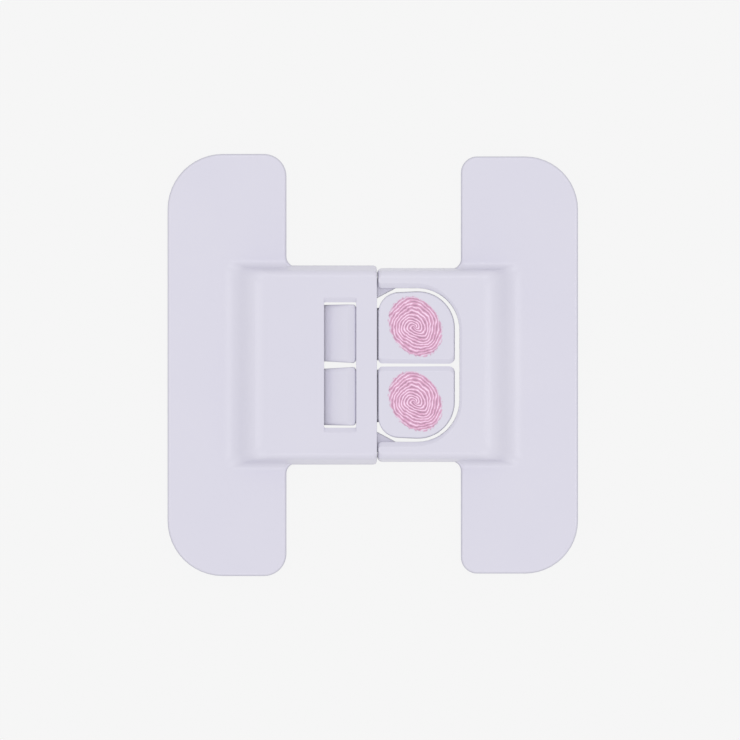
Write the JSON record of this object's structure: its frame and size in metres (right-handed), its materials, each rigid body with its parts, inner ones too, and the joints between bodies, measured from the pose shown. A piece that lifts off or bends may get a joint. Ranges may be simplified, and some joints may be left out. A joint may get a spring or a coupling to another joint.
{
  "type": "adhesive door safety lock",
  "caption": "Stick-on safety lock that holds a door or drawer shut: a keeper plate and a latch plate whose sprung hooks let go when both thumb buttons are pressed.",
  "frame": {"origin": "centre of the back plane of both foam pads, under the middle of the locked part", "axes": "+Z out of the panels towards the user, +X from the keeper to the latch, +Y along the plates"},
  "size_m": [0.0988, 0.1016, 0.0098],
  "materials": {
    "keeper_plastic": "satin moulded, pale lavender",
    "latch_plastic": "satin moulded, pale lavender",
    "tongue_plastic": "satin moulded, pale lavender",
    "button_plastic": "satin moulded, pale lavender, with a pink thumb-print mark printed on it",
    "foam_tape": "closed-cell foam with adhesive on both faces"
  },
  "bodies": {
    "keeper": {"keeper_shell": "keeper_plastic", "keeper_foam_pad": "foam_tape"},
    "latch": {"latch_shell": "latch_plastic", "latch_foam_pad": "foam_tape"},
    "upper_lever": {"upper_spring_tongue": "tongue_plastic", "upper_button": "button_plastic"},
    "lower_lever": {"lower_spring_tongue": "tongue_plastic", "lower_button": "button_plastic"}
  },
  "joints": [
    {"name": "latch_slide", "type": "slide", "parent": "keeper", "child": "latch", "axis": [1, 0, 0], "range_m": [0, 0.028]},
    {"name": "upper_button_press", "type": "hinge", "parent": "latch", "child": "upper_lever", "pos_m": [-0.01695, 0.0076, 0.0063], "axis": [0, 1, 0], "range_deg": [0, 7.5], "stiffness_Nm_per_rad": 1.5, "deforming": ["upper_spring_tongue"]},
    {"name": "lower_button_press", "type": "hinge", "parent": "latch", "child": "lower_lever", "pos_m": [-0.01695, -0.0076, 0.0063], "axis": [0, 1, 0], "range_deg": [0, 7.5], "stiffness_Nm_per_rad": 1.5, "deforming": ["lower_spring_tongue"]}
  ]
}
